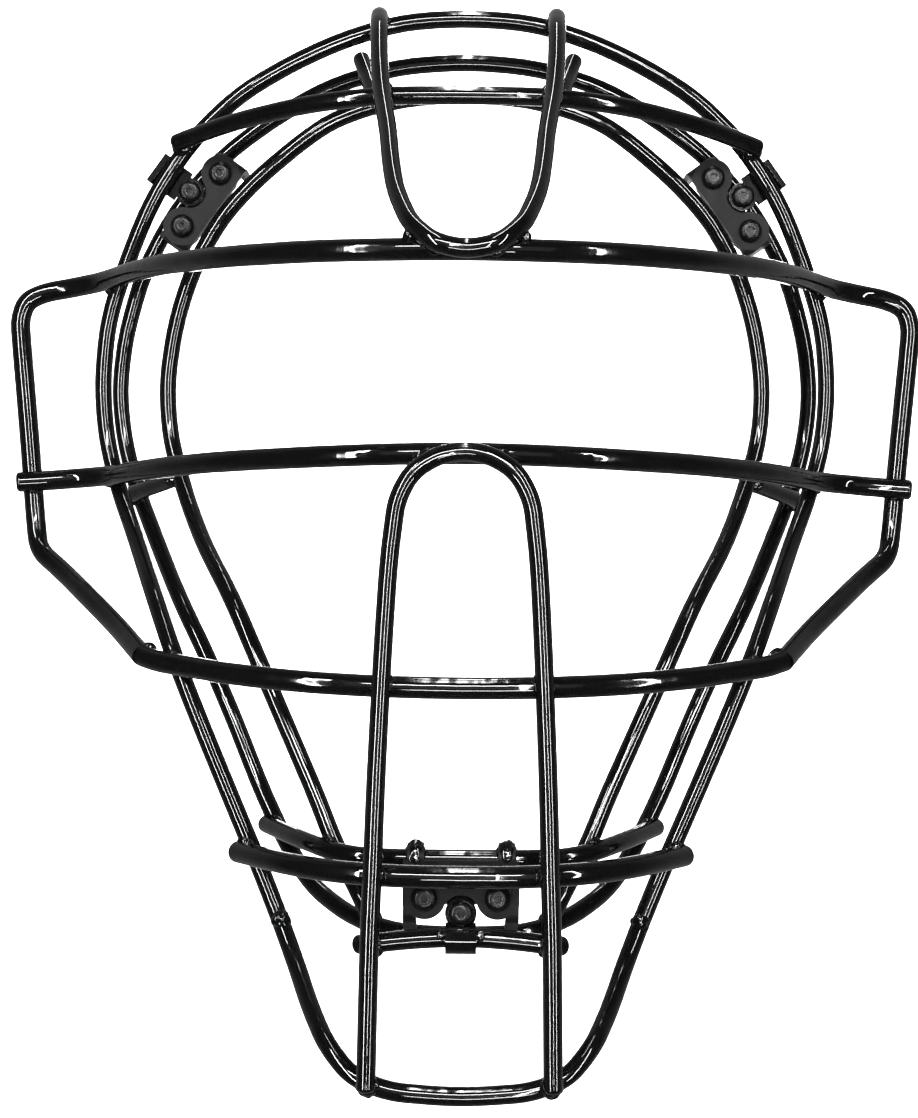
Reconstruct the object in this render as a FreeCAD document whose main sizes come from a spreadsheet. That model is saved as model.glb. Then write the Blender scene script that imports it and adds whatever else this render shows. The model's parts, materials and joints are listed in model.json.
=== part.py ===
import FreeCAD, Part
import math
import os

# Catcher's mask: an outer impact cage and an inner face cage, both of bent round steel wire,
# joined by three spring modules (left and right temple, and chin).
#
# Millimetres. +Z is up and the mask faces -Y, so the wearer's left side is at +X. The origin is
# on the symmetry plane, level with the rear-most point of the rear hoop and in the plane that
# its back touches, where the face pad seats.

Vector = FreeCAD.Vector
doc = FreeCAD.newDocument("catchers_mask")

# ---------------------------------------------------------------- driving dimensions

DIMENSIONS = {
    "light_wire": 4.76,         # diameter of the hoops, loops and light bars
    "heavy_wire": 5.56,         # diameter of the bars that take a ball
    "end_rounding": 1.1,        # radius round the cut end of a wire
    "plate_thickness": 1.6,     # sheet metal of all plates and straps
    "screw_spread": 18.0,       # between the two outer screws of a module
    "middle_offset": 3.8,       # middle screw, outwards of the line through the outer ones
    "lobe_radius": 5.3,         # front plate round an outer screw
    "notch_radius": 4.5,        # front plate's notch round the middle screw
    "tongue_radius": 3.9,       # strap's end round the middle screw
    "rear_lobe_radius": 3.5,    # rear plate round an outer screw
    "plate_gap": 10.0,          # free space between front plate and rear plate
    "shank_diameter": 3.5,
    "sliding_clearance": 0.1,   # radial, between a shank and a plate that slides on it
    "thread_clearance": 0.04,   # radial, between a shank and its nut or the rear plate
    "head_radius": 3.2,
    "head_height": 2.0,
    "seat_gap": 0.05,           # between a part and the moving part that rests on it
    "socket_across": 2.3,       # circumradius x 2 of the hex socket
    "socket_depth": 1.2,
    "nut_radius": 3.1,          # circumradius
    "nut_height": 2.4,
    "screw_tail": 0.8,          # shank beyond the nut
    "spring_radius": 3.0,       # of the coil's centre line
    "spring_wire": 1.0,         # diameter
    "spring_turns": 4.0,
    "temple_strap_width": 9.0,
    "chin_strap_width": 7.5,
}

sheet = doc.addObject("Spreadsheet::Sheet", "dims")
for row, (alias, value) in enumerate(DIMENSIONS.items(), start=1):
    sheet.set("A%d" % row, alias)
    sheet.set("B%d" % row, str(value))
    sheet.setAlias("B%d" % row, alias)
doc.recompute()


def dim(alias):
    """A driving dimension, read from the sheet."""
    return float(sheet.get(alias))


# ---------------------------------------------------------------- routes of the wires
# Points on each wire's centre line, on the +X side, from the symmetry plane outwards.
# The other side is the mirror image.

PERIMETER_HOOP = [
    (0, -36.2, 100.6), (18, -36.2, 99.2), (34.3, -36.2, 94.4), (48, -35.7, 88.2),
    (62.5, -35, 79.4), (75.5, -33.5, 67.2), (86.5, -33.4, 50.6), (94.3, -30.6, 33),
    (99.3, -28.2, 17.5), (101, -27.2, 0), (99.7, -27.8, -15), (95.5, -32.2, -29.5),
    (89, -44.7, -43), (81.2, -63.2, -58.5), (74.4, -74.2, -73.5), (67.8, -77.2, -89),
    (59, -77.2, -110), (51.4, -77.2, -128), (46, -78.7, -141),
]
THROAT_LOOP = [
    (0, -109.7, -177.8), (17, -109.2, -176.6), (25.8, -107.7, -173.3), (32.3, -103.2, -167),
    (37.2, -94.2, -159.5), (41.4, -85.2, -151), (46, -78.7, -141),
]
BROW_BAR = [
    (0, -69.2, 72.6), (22, -68.2, 72.4), (42, -62.4, 71.2), (62, -50.6, 69),
    (76, -39.8, 66.6), (80.5, -37.1, 65.4),
]
EYE_BAR = [
    (0, -114.2, 26.2), (20, -112.2, 26.2), (38.7, -106.2, 26.4), (60, -91.2, 27),
    (78, -70.2, 27.9), (88, -53.2, 28.4), (95, -40.1, 28.5), (102, -31.2, 27.9),
    (110, -27.2, 26.8), (117.5, -26.2, 25.4), (122.5, -26.2, 22.8), (124.4, -26.2, 17.8),
    (124, -26.2, 10), (121.7, -26.2, -15), (119.5, -27.5, -38), (117.6, -30.2, -46),
    (109.9, -37.2, -52.5), (91.5, -60.2, -66.5), (82.5, -75.2, -73.6),
]
NOSE_BAR = [
    (0, -95.2, -21.8), (20, -93.2, -22.1), (40, -87.2, -22.7), (62, -74.2, -23.4),
    (80, -58, -24.4), (90, -46, -25.2), (97, -36.8, -25.8), (104, -32.4, -26.3),
    (114, -31.5, -27.1), (124, -32.6, -27.8),
]
MOUTH_BAR = [
    (0, -100.1, -79.8), (20, -99.6, -79.5), (40, -95.6, -78.7), (58, -89.2, -77.3),
    (70, -82.4, -75.9), (78, -78.2, -74.8), (82.5, -75.2, -73.6),
]
CHIN_BAR = [
    (0, -109.8, -124.9), (15, -109.1, -124.8), (30, -105, -124.4), (42, -97.6, -123.8),
    (50, -89.6, -123.3), (57.5, -80.4, -123),
]
FOREHEAD_LOOP = [
    (0, -119.2, 25.8), (7.4, -119.1, 27.3), (13.2, -114.6, 32.3), (17.2, -105.2, 41.5),
    (18.9, -96.2, 50.5), (20, -87.2, 59.5), (22, -75.2, 71.4), (23.2, -65.2, 83),
    (23.7, -55.2, 93.5), (24.1, -46.2, 98.6), (24.2, -39.6, 100.6),
]
CHIN_LOOP = [
    (0, -100.2, -21.6), (6.5, -100.4, -22.8), (12.5, -100.6, -26.7), (16.3, -100.8, -33.5),
    (18.3, -101.4, -48), (19.5, -103.2, -68), (20.5, -106.8, -92), (21, -110.2, -108),
    (21.4, -113, -124.5), (21.9, -113.9, -140), (22.5, -113.3, -176),
]
LOWER_BRIDGE = [
    (0, -109.7, -139.4), (12, -109.6, -140), (21, -109.4, -141), (25.4, -106.9, -141.8),
]
FRONT_HOOP = [
    (0, -36.2, 79.6), (15, -36.2, 78.7), (28, -35.9, 75.8), (37.7, -35.5, 71.9),
    (46, -34.9, 66.3), (58, -33.9, 56.2), (67.3, -32.9, 46), (74.8, -30.8, 33.5),
    (80.3, -28.2, 18), (83, -26.2, 1), (82, -27.2, -14), (77.3, -33.2, -29.5),
    (70, -47.2, -44.5), (61.3, -61.2, -58.5), (52.7, -68.7, -76), (44, -72.2, -95),
    (37.3, -75.8, -109.5), (32.3, -78.6, -121), (26.7, -79.8, -132), (22.3, -78.4, -141.5),
]
REAR_HOOP = [
    (0, -16.2, 93.1), (20, -16.2, 91.4), (38, -15.7, 86.2), (54, -14.7, 77.6),
    (70, -12.7, 65.8), (83, -10.2, 51), (92.5, -7.2, 34), (98.3, -4.2, 15),
    (100, -2.38, 0), (98.5, -3.2, -14), (94.5, -7.2, -27.5), (84.5, -21.7, -48.5),
    (77.5, -32.7, -61.5), (70.2, -38.7, -75), (62, -43.7, -92), (54, -48.7, -110),
    (47, -54.7, -123), (39, -63.7, -133.5), (28, -74.2, -140), (16, -81.7, -142.8),
    (0, -84.2, -143.3),
]
CHIN_BRIDGE = [
    (0, -89.4, -123.2), (14, -89.2, -123.2), (25, -88.1, -122.9), (33, -84.3, -122),
    (42, -73.4, -120.4), (52.3, -55.7, -118.8),
]
SIDE_SPACER = [(80.5, -30.6, -26.4), (96, -12.4, -30.6)]
TOP_SPACER = [(25, -34.6, 77.4), (28.4, -22.8, 88.4), (30.4, -17.8, 94.2)]

# ---------------------------------------------------------------- bent lines

RUN_SHARE = 0.45        # share of the shorter run that a bend may take
FITTING_PASSES = 6


def rounded_corner(before, corner, after, radius=None):
    """Start, middle and end of the arc that rounds a corner, touching both of its runs."""
    to_before = before - corner
    to_after = after - corner
    reach = RUN_SHARE * min(to_before.Length, to_after.Length)
    to_before.normalize()
    to_after.normalize()
    half_angle = to_before.getAngle(to_after) / 2
    if radius:
        reach = radius / math.tan(half_angle)
    inwards = (to_before + to_after).normalize()
    middle = corner + inwards * (reach * (1 - math.sin(half_angle)) / math.cos(half_angle))
    return corner + to_before * reach, middle, corner + to_after * reach


def corners_through(points, closed):
    """Corners for a bent line whose arcs pass through the given points."""
    corners = [Vector(*point) for point in points]
    bends = range(len(points)) if closed else range(1, len(points) - 1)
    for _ in range(FITTING_PASSES):
        for i in bends:
            after = corners[(i + 1) % len(corners)]
            middle = rounded_corner(corners[i - 1], corners[i], after)[1]
            corners[i] = corners[i] + Vector(*points[i]) - middle
    return corners


def bent_line(corners, closed=False, radius=None):
    """Straight runs joined by tangent arcs."""
    bends = range(len(corners)) if closed else range(1, len(corners) - 1)
    arcs = [
        rounded_corner(corners[i - 1], corners[i], corners[(i + 1) % len(corners)], radius)
        for i in bends
    ]
    edges = []
    position = arcs[-1][2] if closed else corners[0]
    for start, middle, end in arcs:
        edges.append(Part.LineSegment(position, start).toShape())
        edges.append(Part.Arc(start, middle, end).toShape())
        position = end
    if not closed:
        edges.append(Part.LineSegment(position, corners[-1]).toShape())
    return Part.Wire(edges)


def other_side(half):
    """Mirror image of a half route, listed backwards, without the points on the symmetry plane."""
    return [(-x, y, z) for x, y, z in reversed(half) if x > 0]


def open_route(half):
    """The whole route, from its half that starts on the symmetry plane."""
    return other_side(half) + half


def closed_route(half):
    """The whole loop, from its half with both ends on the symmetry plane."""
    return half + other_side(half)


# ---------------------------------------------------------------- document objects


def swept(name, section, line, solid=True):
    """A section swept along a bent line."""
    path = doc.addObject("Part::Feature", name + "_line")
    path.Shape = line
    sweep = doc.addObject("Part::Sweep", name + "_sweep")
    sweep.Sections = [section]
    sweep.Spine = (path, ["Edge%d" % (i + 1) for i in range(len(line.Edges))])
    sweep.Solid = solid
    sweep.Frenet = False
    return sweep


def tube(name, wire_size, points, closed=False):
    """Round wire along a route; wire_size is the alias of its diameter."""
    line = bent_line(corners_through(points, closed), closed)
    first = line.Edges[0]
    section = doc.addObject("Part::Circle", name + "_section")
    section.setExpression("Radius", "dims.%s / 2" % wire_size)
    start = first.valueAt(first.FirstParameter)
    direction = first.tangentAt(first.FirstParameter)
    turn = FreeCAD.Rotation(Vector(0, 0, 1), direction)
    section.Placement = FreeCAD.Placement(start, turn)
    return swept(name, section, line)


def band(name, corners, across, width, radius):
    """Sheet-metal strip: corners run along its mid-plane, across is the way of its width."""
    line = bent_line(corners, radius=radius)
    along = (corners[1] - corners[0]).normalize()
    side = across * (width / 2)
    face = across.cross(along) * (dim("plate_thickness") / 2)
    start = corners[0]
    section = doc.addObject("Part::Polygon", name + "_section")
    section.Nodes = [start + side + face, start + side - face,
                     start - side - face, start - side + face]
    section.Close = True
    return swept(name, section, line)


def joined(name, pieces):
    """One solid made of several pieces."""
    fuse = doc.addObject("Part::MultiFuse", name)
    fuse.Shapes = pieces
    fuse.Refine = True
    return fuse


def cut_away(name, base, tool):
    """The base without the space that the tool takes."""
    cut = doc.addObject("Part::Cut", name)
    cut.Base = base
    cut.Tool = tool
    return cut


def cylinder(name, radius, height, at):
    """Upright cylinder; radius and height are expressions, and at is its lower end."""
    shape = doc.addObject("Part::Cylinder", name)
    shape.setExpression("Radius", radius)
    shape.setExpression("Height", height)
    shape.Placement.Base = Vector(*at)
    return shape


def prism(name, circumradius, height, at):
    """Upright hexagonal prism; at is the middle of its lower face."""
    shape = doc.addObject("Part::Prism", name)
    shape.Polygon = 6
    shape.setExpression("Circumradius", circumradius)
    shape.setExpression("Height", height)
    shape.Placement.Base = Vector(*at)
    return shape


def block(name, low, high):
    """Box between two opposite corners."""
    shape = doc.addObject("Part::Box", name)
    shape.Length = high[0] - low[0]
    shape.Width = high[1] - low[1]
    shape.Height = high[2] - low[2]
    shape.Placement.Base = Vector(*low)
    return shape


def rounded_ends(name, sweep):
    """A wire whose cut ends are rounded off."""
    doc.recompute()
    edges = sweep.Shape.Edges
    ends = [face.Edges[0] for face in sweep.Shape.Faces if isinstance(face.Surface, Part.Plane)]
    fillet = doc.addObject("Part::Fillet", name)
    fillet.Base = sweep
    radius = dim("end_rounding")
    fillet.Edges = [
        (i + 1, radius, radius)
        for i, edge in enumerate(edges)
        if any(edge.isSame(end) for end in ends)
    ]
    return fillet


SUB_PARTS = []


def sub_part(label, shape, placement=None):
    """Name a finished piece and put it in its place."""
    shape.Label = label
    if placement is not None:
        shape.Placement = placement
    SUB_PARTS.append(shape)
    return shape


# ---------------------------------------------------------------- the wires


def make_wires():
    """Both cages' wires; returns the four that the modules' plates and straps are coped to."""
    rear = sub_part("rear_hoop", tube("rear_hoop", "light_wire", closed_route(REAR_HOOP), closed=True))
    front_sweep = tube("front_hoop", "light_wire", open_route(FRONT_HOOP))
    front = sub_part("front_hoop", cut_away("front_hoop", front_sweep, rear))

    # These wires meet end to end: the second of each pair is coped to the first.
    throat = sub_part("throat_loop", tube("throat_loop", "light_wire", open_route(THROAT_LOOP)))
    mouth = sub_part("mouth_bar", tube("mouth_bar", "heavy_wire", open_route(MOUTH_BAR)))
    hoop_sweep = tube("perimeter_hoop", "light_wire", open_route(PERIMETER_HOOP))
    perimeter = sub_part("perimeter_hoop", cut_away("perimeter_hoop", hoop_sweep, throat))
    eye_sweep = tube("eye_bar", "heavy_wire", open_route(EYE_BAR))
    sub_part("eye_bar", cut_away("eye_bar", eye_sweep, mouth))

    bars = {}
    for label, wire_size, half in [
        ("brow_bar", "light_wire", BROW_BAR),
        ("nose_bar", "heavy_wire", NOSE_BAR),
        ("chin_bar", "heavy_wire", CHIN_BAR),
        ("forehead_loop", "light_wire", FOREHEAD_LOOP),
        ("chin_loop", "light_wire", CHIN_LOOP),
        ("lower_bridge", "light_wire", LOWER_BRIDGE),
        ("chin_bridge", "light_wire", CHIN_BRIDGE),
    ]:
        bars[label] = sub_part(label, rounded_ends(label, tube(label, wire_size, open_route(half))))

    for side, sign in [("left", 1), ("right", -1)]:
        for kind, points in [("side_spacer", SIDE_SPACER), ("top_spacer", TOP_SPACER)]:
            label = side + "_" + kind
            points = [(sign * x, y, z) for x, y, z in points]
            whole = rounded_ends(label + "_whole", tube(label, "light_wire", points))
            sub_part(label, cut_away(label, whole, front))
    return rear, perimeter, bars["chin_bridge"], bars["lower_bridge"]


# ---------------------------------------------------------------- the spring modules
# A module's own frame: origin midway between its outer screws on the front face of the front
# plate, X along the line through them, Y outwards from the face opening, Z to the front.

PLATE = dim("plate_thickness")
OUTER_U = dim("screw_spread") / 2
MIDDLE_V = dim("middle_offset")
REAR_FRONT = -PLATE - dim("plate_gap")      # front face of the rear plate
REAR_BACK = REAR_FRONT - PLATE
NUT_BACK = REAR_BACK - dim("nut_height")
SCREW_END = NUT_BACK - dim("screw_tail")
SCREW_PLACES = [(-OUTER_U, 0), (OUTER_U, 0), (0, MIDDLE_V)]

PLATE_END = 14.4            # half length of the front plate
PLATE_INNER = -5.2          # its edge on the face opening's side
SHOULDER = 2.0              # its straight edge on the outer side, between lobes and ends
FOLD_RADIUS = 1.7           # of a fold's mid-plane
CURL = dim("light_wire") / 2 + PLATE / 2    # of a sheet's mid-plane where it is curled round a wire
TUNNEL = 60.0               # long enough to cut right through a plate
MARGIN = 1.0                # how far a cutting tool stands proud of what it cuts
DOME_SHARE = 0.8            # share of a screw head's height that is rounded off
HELIX_SEGMENT = 0.5         # turns in each face of a spring


def module_frame(middle, outwards):
    """Placement of a module from its middle point and its outward direction."""
    front = Vector(0, -1, 0)
    return FreeCAD.Placement(middle, FreeCAD.Rotation(outwards.cross(front), outwards, front, "ZYX"))


def screw(name, u, v):
    """Button-head screw with a hexagonal socket, its head resting on the front face."""
    seat = dim("seat_gap")
    shank = cylinder(name + "_shank", "dims.shank_diameter / 2",
                     "dims.seat_gap + dims.plate_gap + 2 * dims.plate_thickness"
                     " + dims.nut_height + dims.screw_tail", (u, v, SCREW_END))
    head = cylinder(name + "_head", "dims.head_radius", "dims.head_height", (u, v, seat))
    doc.recompute()
    domed = doc.addObject("Part::Fillet", name + "_dome")
    domed.Base = head
    top = seat + dim("head_height")
    dome = DOME_SHARE * dim("head_height")
    domed.Edges = [
        (i + 1, dome, dome)
        for i, edge in enumerate(head.Shape.Edges)
        if len(edge.Vertexes) == 1 and abs(edge.Vertexes[0].Z - top) < 0.001
    ]
    body = joined(name + "_body", [shank, domed])
    socket = prism(name + "_socket", "dims.socket_across / 2", "dims.socket_depth + 1",
                   (u, v, top - dim("socket_depth")))
    return cut_away(name, body, socket)


def nut(name, u, v):
    """Plain hexagonal nut against the back of the rear plate."""
    blank = prism(name + "_blank", "dims.nut_radius", "dims.nut_height", (u, v, NUT_BACK))
    bore = cylinder(name + "_bore", "dims.shank_diameter / 2 + dims.thread_clearance", "dims.nut_height",
                    (u, v, NUT_BACK))
    return cut_away(name, blank, bore)


def spring(name, u, v):
    """Open helical spring between the front plate's back and the rear plate."""
    helix = doc.addObject("Part::Helix", name + "_helix")
    helix.setExpression("Radius", "dims.spring_radius")
    free_height = "(dims.plate_gap - dims.spring_wire - 2 * dims.seat_gap)"
    helix.setExpression("Height", free_height)
    helix.setExpression("Pitch", free_height + " / dims.spring_turns")
    helix.SegmentLength = HELIX_SEGMENT
    section = doc.addObject("Part::Circle", name + "_section")
    section.setExpression("Radius", "dims.spring_wire / 2")
    low = REAR_FRONT + dim("seat_gap") + dim("spring_wire") / 2
    helix.Placement.Base = Vector(u, v, low)
    turn = FreeCAD.Rotation(Vector(0, 0, 1), Vector(0, 1, 0))
    section.Placement = FreeCAD.Placement(Vector(u + dim("spring_radius"), v, low), turn)
    sweep = doc.addObject("Part::Sweep", name)
    sweep.Sections = [section]
    sweep.Spine = (helix, [])
    sweep.Solid = True
    sweep.Frenet = True
    return sweep


def group(name, shapes):
    """Identical loose pieces in one node."""
    if len(shapes) == 1:
        return shapes[0]
    compound = doc.addObject("Part::Compound", name)
    compound.Links = shapes
    return compound


def screw_holes(name, places, clearance):
    """Cylinders that cut the screw holes."""
    radius = "dims.shank_diameter / 2 + dims.%s" % clearance
    holes = [
        cylinder("%s_hole_%d" % (name, i), radius, str(TUNNEL), (u, v, -TUNNEL / 2))
        for i, (u, v) in enumerate(places)
    ]
    return group(name + "_holes", holes)


def lobed_plate(name, pieces, places, clearance, notched):
    """Fuse a plate's pieces, and cut its notch and its screw holes."""
    plate = joined(name + "_blank", pieces)
    if notched:
        notch = cylinder(name + "_notch", "dims.notch_radius", str(PLATE + 2 * MARGIN),
                         (0, MIDDLE_V, -PLATE - MARGIN))
        plate = cut_away(name + "_notched", plate, notch)
    return cut_away(name + "_drilled", plate, screw_holes(name, places, clearance))


def front_lobes(name):
    """The two round lobes of a front plate."""
    return [
        cylinder("%s_lobe_%d" % (name, i), "dims.lobe_radius", "dims.plate_thickness", (u, v, -PLATE))
        for i, (u, v) in enumerate(SCREW_PLACES[:2])
    ]


FLANGE_OUTER = 5.6          # flanges reach this far outwards, to the rear hoop
UPPER_DEPTH = 19.0          # and this far back, at the upper and the lower end
LOWER_DEPTH = 22.0


def temple_front_plate(name, upper):
    """Front plate of a temple module: a channel whose two flanges run back to the rear hoop.

    upper is 1 or -1: the end, along the module's X, that is the higher one.
    """
    middle_plane = -PLATE / 2
    width = FLANGE_OUTER - PLATE_INNER
    v = (FLANGE_OUTER + PLATE_INNER) / 2
    end = PLATE_END - PLATE / 2
    corners = [
        Vector(upper * end, v, -UPPER_DEPTH), Vector(upper * end, v, middle_plane),
        Vector(-upper * end, v, middle_plane), Vector(-upper * end, v, -LOWER_DEPTH),
    ]
    channel = band(name + "_channel", corners, Vector(0, 1, 0), width, FOLD_RADIUS)
    # The outer edge steps in at the front, where only the lobes stand out.
    relief = doc.addObject("Part::Wedge", name + "_relief")
    relief.Xmin = -2 * PLATE_END
    relief.Xmax = 2 * PLATE_END
    relief.X2min = relief.Xmin
    relief.X2max = relief.Xmax
    relief.Ymin = 0
    relief.Ymax = UPPER_DEPTH / 2
    relief.Zmin = -(FLANGE_OUTER - SHOULDER)
    relief.Zmax = MARGIN
    relief.Z2min = 0
    relief.Z2max = MARGIN
    # The wedge's own Y runs to the back and its own Z runs outwards.
    relief.Placement = FreeCAD.Placement(
        Vector(0, FLANGE_OUTER, 0), FreeCAD.Rotation(Vector(1, 0, 0), -90))
    trimmed = cut_away(name + "_channel_trimmed", channel, relief)
    return lobed_plate(name, [trimmed] + front_lobes(name), SCREW_PLACES[:2], "sliding_clearance", True)


BRIDGE_V = -8.1             # chin bridge's centre line in the chin module's frame
BRIDGE_W = -11.5
HOOK_START = 0.5            # a hook starts this far outwards of the bridge's middle
HOOK_END = 1.0              # and ends this far behind it
STEP_V = -4.9               # where the chin plate steps back
STEP_RUN = 1.2              # and how far it moves inwards while it does
HOOK_PLACES = [-11.4, 11.4]     # middle of each hook
HOOK_WIDTH = 4.2
LEG_PLACES = [-12.65, 12.65]
LEG_WIDTH = 3.3
LEG_BEND = 5.2              # outward place of a leg's bend
LEG_END = (11.6, -18.3)     # outward and forward place of its end, inside the rear hoop


def chin_front_plate(name):
    """Front plate of the chin module: hooked over the chin bridge, with two legs to the rear hoop."""
    middle_plane = -PLATE / 2
    across = Vector(1, 0, 0)
    pieces = front_lobes(name)
    face = [Vector(0, SHOULDER, middle_plane), Vector(0, STEP_V, middle_plane),
            Vector(0, STEP_V - STEP_RUN, BRIDGE_W + CURL), Vector(0, BRIDGE_V, BRIDGE_W + CURL)]
    pieces.append(band(name + "_face", face, across, 2 * PLATE_END, FOLD_RADIUS / 2))
    for i, u in enumerate(HOOK_PLACES):
        hook = [Vector(u, BRIDGE_V + HOOK_START, BRIDGE_W + CURL),
                Vector(u, BRIDGE_V - CURL, BRIDGE_W + CURL),
                Vector(u, BRIDGE_V - CURL, BRIDGE_W - HOOK_END)]
        pieces.append(band("%s_hook_%d" % (name, i), hook, across, HOOK_WIDTH, CURL))
    for i, u in enumerate(LEG_PLACES):
        leg = [Vector(u, 0, middle_plane), Vector(u, LEG_BEND, middle_plane), Vector(u, *LEG_END)]
        pieces.append(band("%s_leg_%d" % (name, i), leg, across, LEG_WIDTH, FOLD_RADIUS))
    return lobed_plate(name, pieces, SCREW_PLACES[:2], "sliding_clearance", True)


def rear_plate(name):
    """Floating plate with three lobes."""
    pieces = [
        cylinder("%s_lobe_%d" % (name, i), "dims.rear_lobe_radius", "dims.plate_thickness", (u, v, REAR_BACK))
        for i, (u, v) in enumerate(SCREW_PLACES)
    ]
    half_web = dim("rear_lobe_radius") - 0.1
    pieces.append(block(name + "_web", (-OUTER_U, -half_web, REAR_BACK), (OUTER_U, half_web, REAR_FRONT)))
    return lobed_plate(name, pieces, SCREW_PLACES, "thread_clearance", False)


TEMPLE_MIDDLE = (73.65, -31.05, 51.1)
TEMPLE_OUTWARDS = (0.8163, 0, 0.5777)
CHIN_MIDDLE = (0, -100.7, -131.3)
TEMPLE_WIRE = (10.9, 2.45)      # perimeter hoop in a temple module's frame
CHIN_WIRE = (8.1, 9.0)          # lower bridge in the chin module's frame
TONGUE_START = 2.4          # the strap's bent strip starts this far outwards of its screw
LIP = 1.2                   # a temple strap's lip reaches this far past the middle of its wire
CHIN_LEG_DROP = 0.6         # the chin strap turns forwards this far outwards of its wire's middle
CHIN_LEG_FRONT = 3.0        # and runs under the wire from here on
CHIN_LIP = 2.0              # its lip in front of the wire reaches this far inwards of the middle


def temple_strap(name):
    """Strap of the outer cage: a tongue at the middle screw, run behind the hoop and up its outer side."""
    wire_v, wire_w = TEMPLE_WIRE
    turn = wire_v + CURL
    corners = [Vector(0, turn, -PLATE / 2), Vector(0, turn, wire_w + LIP)]
    return strap(name, corners, dim("temple_strap_width"))


def chin_strap(name):
    """Strap of the outer cage: a tongue at the middle screw, curled under and up in front of the bridge."""
    wire_v, wire_w = CHIN_WIRE
    turn = wire_v + CURL
    corners = [Vector(0, wire_v + CHIN_LEG_DROP, -PLATE / 2), Vector(0, turn, CHIN_LEG_FRONT),
               Vector(0, turn, wire_w + CURL), Vector(0, wire_v - CHIN_LIP, wire_w + CURL)]
    return strap(name, corners, dim("chin_strap_width"))


def strap(name, corners, width):
    """A round tongue at the middle screw and the bent strip that runs on from it."""
    start = Vector(0, MIDDLE_V + TONGUE_START, -PLATE / 2)
    tongue = cylinder(name + "_tongue", "dims.tongue_radius", "dims.plate_thickness", (0, MIDDLE_V, -PLATE))
    strip = band(name + "_strip", [start] + corners, Vector(1, 0, 0), width, CURL)
    return lobed_plate(name, [tongue, strip], SCREW_PLACES[2:], "sliding_clearance", False)


def make_module(side, frame, plate, strap_shape, inner_wire, cage_wire):
    """All pieces of one module; its plate is fixed to inner_wire, its strap curled round cage_wire."""
    plate.Placement = frame
    sub_part(side + "_front_plate", cut_away(side + "_front_plate_coped", plate, inner_wire))
    strap_shape.Placement = frame
    sub_part(side + "_strap", cut_away(side + "_strap_coped", strap_shape, cage_wire))
    sub_part(side + "_rear_plate", rear_plate(side + "_rear_plate"), frame)
    screws = [screw("%s_screw_%d" % (side, i), u, v) for i, (u, v) in enumerate(SCREW_PLACES)]
    sub_part(side + "_outer_screws", group(side + "_outer_screws", screws[:2]), frame)
    sub_part(side + "_middle_screw", screws[2], frame)
    nuts = [nut("%s_nut_%d" % (side, i), u, v) for i, (u, v) in enumerate(SCREW_PLACES)]
    sub_part(side + "_nuts", group(side + "_nuts", nuts), frame)
    springs = [spring("%s_spring_%d" % (side, i), u, v) for i, (u, v) in enumerate(SCREW_PLACES)]
    sub_part(side + "_outer_springs", group(side + "_outer_springs", springs[:2]), frame)
    sub_part(side + "_middle_spring", springs[2], frame)


def make_modules(rear_hoop, perimeter, chin_bridge, lower_bridge):
    """The temple modules and the chin module."""
    for side, sign in [("left", 1), ("right", -1)]:
        x, y, z = TEMPLE_MIDDLE
        out_x, out_y, out_z = TEMPLE_OUTWARDS
        frame = module_frame(Vector(sign * x, y, z), Vector(sign * out_x, out_y, out_z))
        plate = temple_front_plate(side + "_front_plate", -sign)
        make_module(side, frame, plate, temple_strap(side + "_strap"), rear_hoop, perimeter)

    frame = module_frame(Vector(*CHIN_MIDDLE), Vector(0, 0, -1))
    plate = chin_front_plate("chin_front_plate")
    chin_wires = joined("chin_wires", [rear_hoop, chin_bridge])
    make_module("chin", frame, plate, chin_strap("chin_strap"), chin_wires, lower_bridge)


def check(obj):
    """Stop if an object failed, or its shape is missing or not valid."""
    if "Invalid" in obj.State or "Error" in obj.State:
        raise RuntimeError("%s failed" % obj.Label)
    if obj.isDerivedFrom("Part::Feature") and (obj.Shape.isNull() or not obj.Shape.isValid()):
        raise RuntimeError("%s has no valid shape" % obj.Label)


make_modules(*make_wires())
doc.recompute()
for document_object in doc.Objects:
    check(document_object)

os.makedirs("parts", exist_ok=True)
for piece in SUB_PARTS:
    print(piece.Label, len(piece.Shape.Solids), round(piece.Shape.Volume, 1))
    piece.Shape.exportStep("parts/%s.step" % piece.Label)
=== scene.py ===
"""Looks of the dual-cage catcher's mask: coated wire, sheet metal, welds, springs, studio."""

import json
import math

import bmesh
import bpy
from mathutils import Matrix, Vector, noise
from mathutils.bvhtree import BVHTree


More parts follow.
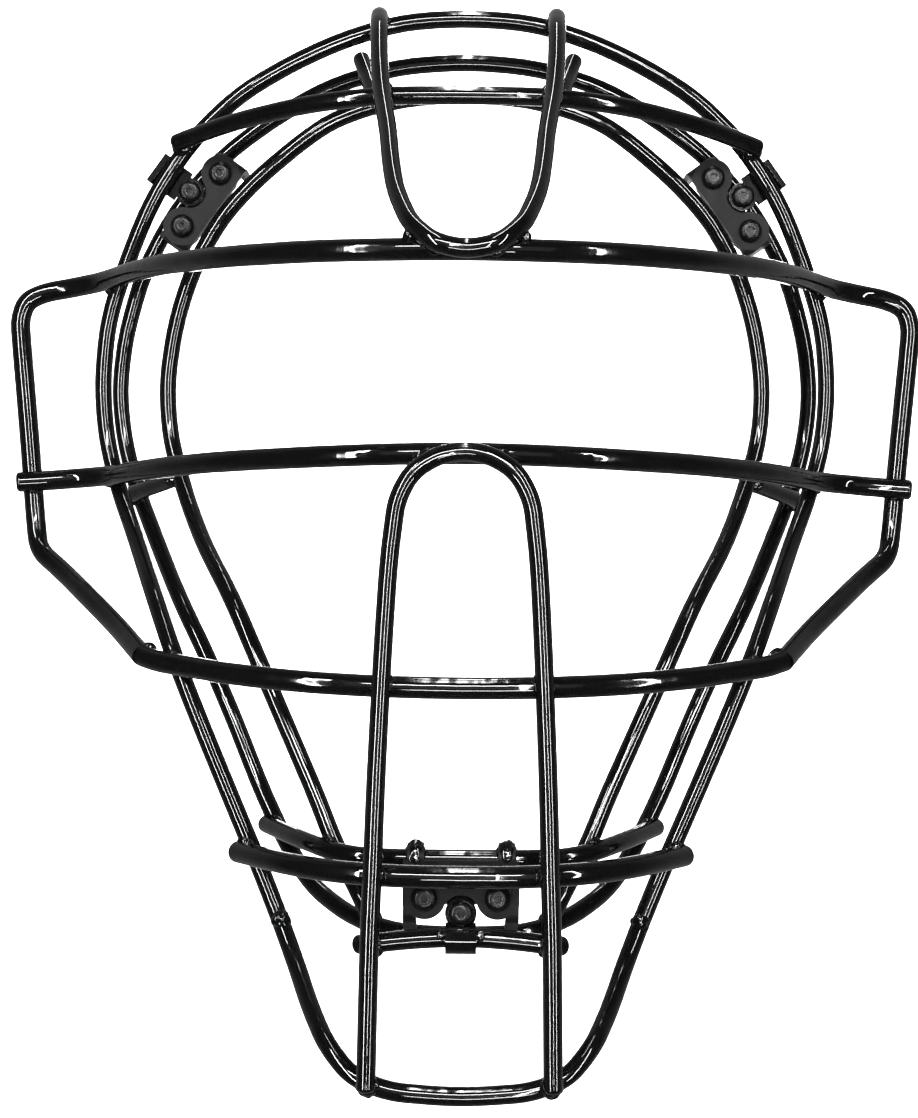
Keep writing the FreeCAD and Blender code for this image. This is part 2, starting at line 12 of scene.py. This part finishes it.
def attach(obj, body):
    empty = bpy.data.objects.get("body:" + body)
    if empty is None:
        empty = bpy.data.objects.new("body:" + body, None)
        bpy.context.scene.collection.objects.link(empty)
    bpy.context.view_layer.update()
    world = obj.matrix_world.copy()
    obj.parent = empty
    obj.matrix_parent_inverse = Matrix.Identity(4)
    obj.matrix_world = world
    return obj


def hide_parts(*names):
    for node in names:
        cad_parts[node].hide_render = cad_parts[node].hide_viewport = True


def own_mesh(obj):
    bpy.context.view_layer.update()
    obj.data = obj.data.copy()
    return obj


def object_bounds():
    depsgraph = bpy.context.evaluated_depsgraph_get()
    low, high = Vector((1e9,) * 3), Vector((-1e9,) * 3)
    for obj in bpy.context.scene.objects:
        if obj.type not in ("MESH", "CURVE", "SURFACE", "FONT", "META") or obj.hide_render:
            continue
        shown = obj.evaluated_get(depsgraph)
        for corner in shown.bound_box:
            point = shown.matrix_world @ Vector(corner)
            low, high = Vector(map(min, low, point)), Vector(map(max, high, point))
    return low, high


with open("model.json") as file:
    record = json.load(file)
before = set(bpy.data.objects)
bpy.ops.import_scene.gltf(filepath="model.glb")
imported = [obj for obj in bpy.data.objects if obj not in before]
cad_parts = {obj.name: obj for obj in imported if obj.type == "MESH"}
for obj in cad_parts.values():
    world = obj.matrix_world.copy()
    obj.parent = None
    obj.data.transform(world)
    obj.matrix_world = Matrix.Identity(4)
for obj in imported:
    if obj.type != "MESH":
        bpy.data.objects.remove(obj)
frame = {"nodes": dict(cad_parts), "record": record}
cad_box = [list(corner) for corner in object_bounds()]

MM = 0.001
nodes = frame["nodes"]
bodies = frame["record"]["behaviour"]["bodies"]
node_body = {name: body for body, names in bodies.items() for name in names}

# ---------------------------------------------------------------- camera

EYE_DISTANCE = 634.2 * MM       # in front of the face-seat plane
EYE_HEIGHT = -48 * MM           # level with the lower edge of the nose bar
EYE_ASIDE = -1.2 * MM
ROLL = math.radians(0.5)
LENS = 69.94                    # on the 36 mm long side of the picture

camera_data = bpy.data.cameras.new("camera")
camera_data.sensor_width = 36
camera_data.lens = LENS
camera_data.clip_end = 20
camera = bpy.data.objects.new("camera", camera_data)
camera.location = (EYE_ASIDE, -EYE_DISTANCE, EYE_HEIGHT)
camera.rotation_euler = (math.radians(90), -ROLL, 0)
bpy.context.scene.collection.objects.link(camera)
bpy.context.scene.camera = camera

# ---------------------------------------------------------------- materials

# mask of the painted edge highlight
EDGE_LAYER = "edge"     # 1 on the eased edges of sheet metal and screws, 0 elsewhere
NOISE_RANGE = (0.3, 0.7)        # noise values that are spread over a whole range
COAT_IOR = 1.5


def principled(name):
    """A new material's node tree and its Principled node."""
    material = bpy.data.materials.new(name)
    material.use_nodes = True
    tree = material.node_tree
    shader = next(n for n in tree.nodes if n.type == "BSDF_PRINCIPLED")
    return material, tree, shader


def fine_noise(tree, scale, detail=2.0):
    """Noise in object space; scale is in cycles per metre."""
    place = tree.nodes.new("ShaderNodeTexCoord")
    texture = tree.nodes.new("ShaderNodeTexNoise")
    texture.inputs["Scale"].default_value = scale
    texture.inputs["Detail"].default_value = detail
    tree.links.new(place.outputs["Object"], texture.inputs["Vector"])
    return texture.outputs["Fac"]


def spread(tree, value, low, high):
    """Map a noise value to the range from low to high."""
    mapping = tree.nodes.new("ShaderNodeMapRange")
    mapping.inputs["From Min"].default_value = NOISE_RANGE[0]
    mapping.inputs["From Max"].default_value = NOISE_RANGE[1]
    mapping.inputs["To Min"].default_value = low
    mapping.inputs["To Max"].default_value = high
    tree.links.new(value, mapping.inputs["Value"])
    return mapping.outputs["Result"]


def shade(tree, value, dark, light):
    """Colour between two greys, by a noise value."""
    ramp = tree.nodes.new("ShaderNodeMix")
    ramp.data_type = "RGBA"
    ramp.inputs["A"].default_value = dark + (1,)
    ramp.inputs["B"].default_value = light + (1,)
    tree.links.new(value, ramp.inputs["Factor"])
    return ramp.outputs["Result"]


def rough_and_bumpy(tree, shader, rough_scale, rough_range, bumps):
    """Vary the roughness, and add layers of bump: (scale, height in metres, detail)."""
    patches = fine_noise(tree, rough_scale)
    tree.links.new(spread(tree, patches, *rough_range), shader.inputs["Roughness"])
    normal = None
    for scale, height, detail in bumps:
        bump = tree.nodes.new("ShaderNodeBump")
        bump.inputs["Strength"].default_value = 1
        bump.inputs["Distance"].default_value = height
        tree.links.new(fine_noise(tree, scale, detail), bump.inputs["Height"])
        if normal is not None:
            tree.links.new(normal, bump.inputs["Normal"])
        normal = bump.outputs["Normal"]
    tree.links.new(normal, shader.inputs["Normal"])
    return patches


def painted_edge_highlights(tree, shader, metal, roughness):
    """Paint a highlight on the eased edges: a lighter, metallic colour there stands in for their
    shine.
    """
    edge = tree.nodes.new("ShaderNodeAttribute")
    edge.attribute_name = EDGE_LAYER
    for socket, value in [("Base Color", metal), ("Roughness", roughness)]:
        mix = tree.nodes.new("ShaderNodeMix")
        if socket == "Base Color":
            mix.data_type = "RGBA"
        first, second = [m for m in mix.inputs if m.enabled and m.name in ("A", "B")]
        second.default_value = value
        tree.links.new(edge.outputs["Fac"], mix.inputs["Factor"])
        tree.links.new(shader.inputs[socket].links[0].from_socket, first)
        result = next(output for output in mix.outputs if output.enabled)
        tree.links.new(result, shader.inputs[socket])
    tree.links.new(edge.outputs["Fac"], shader.inputs["Metallic"])


def finish(name, greys, patches, roughness, bumps, edge_highlight=None, constants=None):
    """A material.

    greys are its two colours, patches the scale of their mix, bumps as in rough_and_bumpy, the
    optional pair the colour and roughness of the painted highlight on its eased edges, and
    constants the sockets that are the same all over.
    """
    material, tree, shader = principled(name)
    mixed = rough_and_bumpy(tree, shader, patches, roughness, bumps)
    tree.links.new(shade(tree, mixed, *greys), shader.inputs["Base Color"])
    # painted highlight: a lighter, metallic colour on the eased edges
    if edge_highlight:
        painted_edge_highlights(tree, shader, *edge_highlight)
    for socket, value in (constants or {}).items():
        shader.inputs[socket].default_value = value
    return material


MATERIALS = {
    # Gloss black powder coat: a deep gloss film with a faint orange peel.
    "wire_coating": finish(
        "gloss_black_coat",
        greys=((0.0010, 0.0010, 0.0011), (0.0018, 0.0018, 0.0019)),
        patches=90,
        roughness=(0.045, 0.10),
        bumps=[(200, 0.09 * MM, 1.0), (1300, 0.001 * MM, 2.0)],
        constants={"IOR": COAT_IOR},
    ),
    # Satin coat with the fine grain of sprayed sheet metal, and a painted highlight of lighter,
    # metallic colour on the eased edges.
    "plate_coating": finish(
        "satin_plate_coat",
        greys=((0.0022, 0.0022, 0.0023), (0.0045, 0.0045, 0.0047)),
        patches=240,
        roughness=(0.40, 0.52),
        bumps=[(2600, 0.006 * MM, 3.0), (420, 0.02 * MM, 1.0)],
        edge_highlight=((0.16, 0.16, 0.165, 1), 0.34),
        constants={"Specular IOR Level": 0.08, "IOR": COAT_IOR},
    ),
    # Black-oxide steel, semi-gloss, slightly uneven, with a painted highlight of lighter, metallic
    # colour on the eased edges.
    "fastener_black": finish(
        "black_oxide",
        greys=((0.001, 0.001, 0.001), (0.003, 0.003, 0.003)),
        patches=500,
        roughness=(0.2, 0.32),
        bumps=[(1800, 0.004 * MM, 2.0)],
        edge_highlight=((0.12, 0.12, 0.125, 1), 0.3),
        constants={"Specular IOR Level": 0.16, "IOR": COAT_IOR},
    ),
    # Dark drawn spring wire.
    "spring_steel": finish(
        "spring_wire",
        greys=((0.06, 0.06, 0.062), (0.12, 0.12, 0.122)),
        patches=700,
        roughness=(0.24, 0.36),
        bumps=[(2200, 0.004 * MM, 3.0)],
        constants={"Metallic": 0.9},
    ),
}
node_slot = {part["node"]: part["material_slot"] for part in frame["record"]["subparts"]}
for name, node in nodes.items():
    for material_slot in node.material_slots:
        material_slot.material = MATERIALS[node_slot[name]]

# ---------------------------------------------------------------- pieces


def finish_piece(piece, body, slot):
    """Link a new piece, give it its slot's material, and let it ride on its body."""
    bpy.context.scene.collection.objects.link(piece)
    if not piece.data.materials:
        piece.data.materials.append(MATERIALS[slot])
    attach(piece, body)
    return piece


def mesh_piece(name, mesh_builder, body, slot):
    """A piece from a bmesh, smooth shaded."""
    mesh = bpy.data.meshes.new(name)
    mesh_builder.to_mesh(mesh)
    mesh_builder.free()
    mesh.shade_smooth()
    return finish_piece(bpy.data.objects.new(name, mesh), body, slot)


# ---- sheet metal: the CAD plates with their sharp edges eased

SHEET_EDGE = 0.4 * MM
SCREW_EDGE = 0.14 * MM
SHARP = math.radians(35)        # bends sharper than this are eased
FLAT = math.radians(1.5)        # bends flatter than this are dissolved
WELD_VERTICES = 0.002 * MM
ROUND_STEPS = 3


def eased(node_name, width, slot):
    """A piece like its CAD node, with narrow rounded edges that catch the light."""
    shape = bmesh.new()
    shape.from_mesh(nodes[node_name].data)
    bmesh.ops.remove_doubles(shape, verts=shape.verts, dist=WELD_VERTICES)
    bmesh.ops.dissolve_limit(shape, angle_limit=FLAT, verts=shape.verts, edges=shape.edges)
    sharp = [e for e in shape.edges if len(e.link_faces) == 2 and e.calc_face_angle(0) > SHARP]
    made = bmesh.ops.bevel(shape, geom=sharp, offset=width, segments=ROUND_STEPS, profile=0.5,
                           affect="EDGES", clamp_overlap=True)
    # mark the eased rims, where the painted highlight goes
    layer = shape.verts.layers.float.new(EDGE_LAYER)
    rims = set(made["faces"])
    for vertex in shape.verts:
        if vertex.link_faces and all(face in rims for face in vertex.link_faces):
            vertex[layer] = 1
    piece = mesh_piece(node_name + "_eased", shape, node_body[node_name], slot)
    smooth = piece.modifiers.new("shading", "WEIGHTED_NORMAL")
    smooth.keep_sharp = False
    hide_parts(node_name)


for node_name, slot_name in node_slot.items():
    if node_name.endswith(("_plate", "_strap")):
        eased(node_name, SHEET_EDGE, slot_name)
    elif node_name.endswith(("_screws", "_screw")):
        eased(node_name, SCREW_EDGE, slot_name)

# ---- springs: copies of the CAD springs that ride on their bodies


def soft_spring(node_name, fixed_end):
    """A copy of a spring that rides on its body."""
    mesh = nodes[node_name].data.copy()
    coil = bpy.data.objects.new(node_name + "_coil", mesh)
    piece = finish_piece(coil, node_body[node_name], "spring_steel")
    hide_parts(node_name)
    points = [vertex.co for vertex in mesh.vertices]
    end = fixed_end(point.y for point in points)
    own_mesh(piece)


for side in ("left", "right", "chin"):
    soft_spring(side + "_middle_spring", max)
    soft_spring(side + "_outer_springs", min)

# ---- welds

SEARCH = 3 * MM             # the widest gap that a weld may bridge
CROSSING_REACH = 0.3 * MM   # beyond the smallest gap, what still counts as touching
BUTT_REACH = 0.1 * MM
WELD_GRAIN = 620            # lumps per metre
WELD_LUMP = 0.5 * MM


def tree_of(node_name):
    """Search tree of a node's surface."""
    shape = bmesh.new()
    shape.from_mesh(nodes[node_name].data)
    found = BVHTree.FromBMesh(shape)
    shape.free()
    return found


def contacts(first, second):
    """Every near approach of the first node to the second: gap, middle, normal and place in X."""
    surface = tree_of(second)
    for vertex in nodes[first].data.vertices:
        hit = surface.find_nearest(vertex.co, SEARCH)
        if hit[0] is not None:
            yield hit[3], (vertex.co + hit[0]) / 2, hit[1], vertex.co.x


def average_spot(patch):
    """Middle and normal of a patch of near approaches."""
    middle = sum((point for _, point, _, _ in patch), Vector()) / len(patch)
    normal = sum((direction for _, _, direction, _ in patch), Vector())
    return middle, normal.normalized()


def meeting_points(first, second, reach):
    """Where two nodes touch, on each side of the symmetry plane: middle and normal."""
    found = []
    near = list(contacts(first, second))
    for sign in (-1, 1):
        hits = [hit for hit in near if hit[3] * sign > 0]
        if hits:
            smallest = min(hit[0] for hit in hits)
            found.append(average_spot([hit for hit in hits if hit[0] <= smallest + reach]))
    return found


def wedge_points(first, second, low, high):
    """Where the gap between two slowly parting nodes has grown to between low and high."""
    slices = {}
    for hit in contacts(first, second):
        place = round(hit[3] / MM)
        if place not in slices or hit[0] < slices[place][0]:
            slices[place] = hit
    found = []
    for sign in (-1, 1):
        side = [hit for hit in slices.values() if hit[3] * sign > 0]
        patch = [hit for hit in side if low <= hit[0] <= high]
        if patch:
            found.append(average_spot(patch))
    return found


def lump(shape, middle, normal, wide, thick):
    """Add one lumpy weld bead: wide across the joint, thick along its normal."""
    made = bmesh.ops.create_icosphere(shape, subdivisions=4, radius=1)
    turn = normal.to_track_quat("Z", "Y").to_matrix()
    for vertex in made["verts"]:
        point = Vector((vertex.co.x * wide, vertex.co.y * wide, vertex.co.z * thick))
        point = middle + turn @ point
        rough = noise.noise(point * WELD_GRAIN) * WELD_LUMP
        vertex.co = point + (point - middle).normalized() * rough


# Crossing wires: (first, second, bead's half width, its half thickness), in millimetres.
CROSSINGS = [
    ("brow_bar", "perimeter_hoop", 2.9, 1.9),
    ("brow_bar", "forehead_loop", 2.6, 1.6),
    ("forehead_loop", "perimeter_hoop", 2.7, 1.8),
    ("forehead_loop", "eye_bar", 3.0, 1.7),
    ("eye_bar", "perimeter_hoop", 3.1, 1.9),
    ("nose_bar", "perimeter_hoop", 3.0, 1.8),
    ("nose_bar", "eye_bar", 3.0, 1.9),
    ("mouth_bar", "perimeter_hoop", 3.0, 1.9),
    ("chin_bar", "perimeter_hoop", 3.0, 1.9),
    ("chin_loop", "nose_bar", 1.9, 1.3),
    ("chin_loop", "mouth_bar", 2.6, 1.6),
    ("chin_loop", "chin_bar", 2.8, 1.7),
    ("chin_loop", "lower_bridge", 2.7, 1.7),
    ("chin_loop", "throat_loop", 2.8, 1.8),
    ("chin_bridge", "front_hoop", 2.8, 1.8),
    ("chin_bridge", "rear_hoop", 2.8, 1.8),
    ("left_side_spacer", "rear_hoop", 2.6, 1.7),
    ("right_side_spacer", "rear_hoop", 2.6, 1.7),
    ("left_top_spacer", "rear_hoop", 2.6, 1.7),
    ("right_top_spacer", "rear_hoop", 2.6, 1.7),
]
# Wires that end on another one: (first, second, bead's radius), in millimetres.
BUTTS = [
    ("perimeter_hoop", "throat_loop", 2.52),
    ("eye_bar", "mouth_bar", 3.0),
    ("front_hoop", "rear_hoop", 2.75),
    ("left_side_spacer", "front_hoop", 2.75),
    ("right_side_spacer", "front_hoop", 2.75),
    ("left_top_spacer", "front_hoop", 2.75),
    ("right_top_spacer", "front_hoop", 2.75),
]
# Fillets in the narrow wedge beside a long contact: (first, second, from gap, to gap, half width).
WEDGES = [
    ("forehead_loop", "eye_bar", 0.6, 1.3, 1.9),
    ("chin_loop", "nose_bar", 0.9, 1.7, 2.2),
]


def weld(first, second, spots, wide, thick, tag=""):
    """One piece with a bead at every spot; sizes in millimetres."""
    shape = bmesh.new()
    for middle, normal in spots:
        lump(shape, middle, normal, wide * MM, thick * MM)
    mesh_piece("weld_%s_%s%s" % (first, second, tag), shape, node_body[first], "wire_coating")


for first, second, wide, thick in CROSSINGS:
    weld(first, second, meeting_points(first, second, CROSSING_REACH), wide, thick)
for first, second, radius in BUTTS:
    weld(first, second, meeting_points(first, second, BUTT_REACH), radius, radius)
for first, second, near, far, wide in WEDGES:
    weld(first, second, wedge_points(first, second, near * MM, far * MM), wide, wide, "_fillet")

HOOK_PLACE = 11.4 * MM          # of the chin plate's hooks, from the symmetry plane
HOOK_HALF_WIDTH = 4 * MM        # of the stretch of wire that is measured under a hook
HOOK_BACK = 2.4 * MM            # of a bead's middle, behind the front of the wire
HOOK_RISE = 0.6 * MM            # and above the middle of the wire
HOOK_BEAD = (4.15 * MM, 3.0 * MM)   # half width across, half thickness along X
LIP_ASIDE = 0.7 * MM            # of a lip bead's middle, from the strap's side
LIP_BACK = 1.7 * MM             # behind the strap's front
LIP_RISE = 5.0 * MM             # above the strap's lower edge
LIP_BEAD = (1.35 * MM, 1.2 * MM)    # half width across, half thickness along Y


def box_of(node_name):
    """Lowest and highest corner of a node."""
    points = [vertex.co for vertex in nodes[node_name].data.vertices]
    return [Vector(limit(point[axis] for point in points) for axis in range(3))
            for limit in (min, max)]


def chin_hook_beads():
    """Smooth beads that close the chin plate's hooks over the chin bridge."""
    shape = bmesh.new()
    for place in (-HOOK_PLACE, HOOK_PLACE):
        wire = [vertex.co for vertex in nodes["chin_bridge"].data.vertices]
        ring = [point for point in wire if abs(point.x - place) < HOOK_HALF_WIDTH]
        low, high = min(p.z for p in ring), max(p.z for p in ring)
        front = min(p.y for p in ring)
        middle = Vector((place, front + HOOK_BACK, (low + high) / 2 + HOOK_RISE))
        lump(shape, middle, Vector((1, 0, 0)), *HOOK_BEAD)
    mesh_piece("weld_chin_hooks", shape, "inner_cage", "wire_coating")


def chin_lip_beads():
    """A bead on each side of the chin strap's lip."""
    low, high = box_of("chin_strap")
    shape = bmesh.new()
    for sign in (-1, 1):
        middle = Vector((high.x + LIP_ASIDE, low.y + LIP_BACK, low.z + LIP_RISE))
        middle.x *= sign
        lump(shape, middle, Vector((0, 1, 0)), *LIP_BEAD)
    mesh_piece("weld_chin_lip", shape, "outer_cage", "wire_coating")


chin_hook_beads()
chin_lip_beads()

# ---------------------------------------------------------------- studio

FLOOR_DROP = 320 * MM       # below the mask
STAGE_HALF = 4.0            # metres, as all of the studio
WALL_AT = 2.6
WALL_HEIGHT = 5
CORNER = 1.2                # radius between the floor and the wall
CORNER_STEPS = 16
PAPER = (0.93, 0.93, 0.93, 1)
PAPER_GLOW = 0.4            # keeps the far parts of the floor pale


def backdrop():
    """Pale floor that curves up into a wall behind the mask."""
    floor_height = cad_box[0][2] - FLOOR_DROP
    profile = [(-STAGE_HALF, floor_height), (WALL_AT - CORNER, floor_height)]
    for step in range(1, CORNER_STEPS + 1):
        angle = math.radians(90) * step / CORNER_STEPS
        profile.append((WALL_AT - CORNER + CORNER * math.sin(angle),
                        floor_height + CORNER * (1 - math.cos(angle))))
    profile.append((WALL_AT, floor_height + WALL_HEIGHT))
    shape = bmesh.new()
    rows = []
    for y, z in profile:
        rows.append([shape.verts.new((x, y, z)) for x in (-STAGE_HALF, STAGE_HALF)])
    for low, high in zip(rows, rows[1:]):
        shape.faces.new((low[0], low[1], high[1], high[0]))
    mesh = bpy.data.meshes.new("backdrop")
    shape.to_mesh(mesh)
    shape.free()
    mesh.shade_smooth()
    material, _, shader = principled("pale_paper")
    shader.inputs["Base Color"].default_value = PAPER
    shader.inputs["Roughness"].default_value = 0.9
    shader.inputs["Specular IOR Level"].default_value = 0
    shader.inputs["Emission Color"].default_value = (1, 1, 1, 1)
    shader.inputs["Emission Strength"].default_value = PAPER_GLOW
    mesh.materials.append(material)
    stage = bpy.data.objects.new("backdrop", mesh)
    bpy.context.scene.collection.objects.link(stage)
    stage.visible_glossy = False


def softbox(name, azimuth, elevation, distance, width, height, radiance):
    """Rectangular soft light round the mask, given by where it stands and how bright it looks.

    azimuth counts from straight in front of the mask, towards +X; both angles in degrees.
    """
    data = bpy.data.lights.new(name, "AREA")
    data.shape = "RECTANGLE"
    data.size = width
    data.size_y = height
    data.energy = radiance * math.pi * width * height
    light = bpy.data.objects.new(name, data)
    turn = (Matrix.Rotation(math.radians(azimuth), 3, "Z")
            @ Matrix.Rotation(math.radians(-elevation), 3, "X"))
    light.location = centre + turn @ Vector((0, -distance, 0))
    light.rotation_euler = (centre - light.location).to_track_quat("-Z", "Y").to_euler()
    light.visible_camera = False
    bpy.context.scene.collection.objects.link(light)
    return light


# Lamps: (name, azimuth, elevation, distance, width, height, radiance).
LAMPS = [
    ("upper_lamp", -2, 25, 1.3, 0.8, 0.08, 80),
    ("lower_lamp", 4, -24, 1.3, 0.45, 0.06, 65),
    ("top_strip", 0, 84, 1.3, 0.03, 1.4, 55),
    ("left_strip", -34, 8, 1.3, 0.05, 1.6, 125),
    ("front_strip", 7, 6, 1.35, 0.025, 1.3, 150),
    ("right_strip", 42, 8, 1.3, 0.04, 1.6, 95),
    ("front_panel", 0, 10, 1.7, 1.6, 1.1, 0.35),
    ("back_lamp", 181, 12, 1.3, 0.5, 0.05, 12),
    ("back_left_strip", 166, 6, 1.3, 0.05, 0.8, 16),
    ("back_right_strip", 190, 6, 1.3, 0.05, 0.8, 12),
]
WALL_LAMP = ("wall_light", 180, 42, 2.2, 3.0, 1.0, 16)
WALL_AIM = (0, 1, -0.9)     # the wall lamp shines away from the mask, at the wall

centre = (Vector(cad_box[0]) + Vector(cad_box[1])) / 2
backdrop()
for lamp in LAMPS:
    softbox(*lamp)
wall_light = softbox(*WALL_LAMP)
wall_light.rotation_euler = Vector(WALL_AIM).to_track_quat("-Z", "Y").to_euler()
wall_light.visible_glossy = False

FRONT_GLOW = 0.03       # radiance of the dark studio in front of the mask
BACK_GLOW = 0.32        # and of the pale surroundings beside and behind it
GLOW_TURN = (-0.15, 0.45)   # the glow changes over this part of the direction's Y
SKY = 0.93              # what the camera sees past the paper

world = bpy.data.worlds.new("studio")
world.use_nodes = True
tree = world.node_tree
direction = tree.nodes.new("ShaderNodeTexCoord")
split = tree.nodes.new("ShaderNodeSeparateXYZ")
tree.links.new(direction.outputs["Generated"], split.inputs["Vector"])
glow = tree.nodes.new("ShaderNodeMapRange")
glow.inputs["From Min"].default_value = GLOW_TURN[0]
glow.inputs["From Max"].default_value = GLOW_TURN[1]
glow.inputs["To Min"].default_value = FRONT_GLOW
glow.inputs["To Max"].default_value = BACK_GLOW
tree.links.new(split.outputs["Y"], glow.inputs["Value"])
rays = tree.nodes.new("ShaderNodeLightPath")
choice = tree.nodes.new("ShaderNodeMix")
choice.inputs["B"].default_value = SKY
tree.links.new(rays.outputs["Is Camera Ray"], choice.inputs["Factor"])
tree.links.new(glow.outputs["Result"], choice.inputs["A"])
tree.links.new(choice.outputs["Result"], tree.nodes["Background"].inputs["Strength"])
tree.nodes["Background"].inputs["Color"].default_value = (1, 1, 1, 1)
bpy.context.scene.world = world
bpy.context.scene.view_settings.view_transform = "Standard"
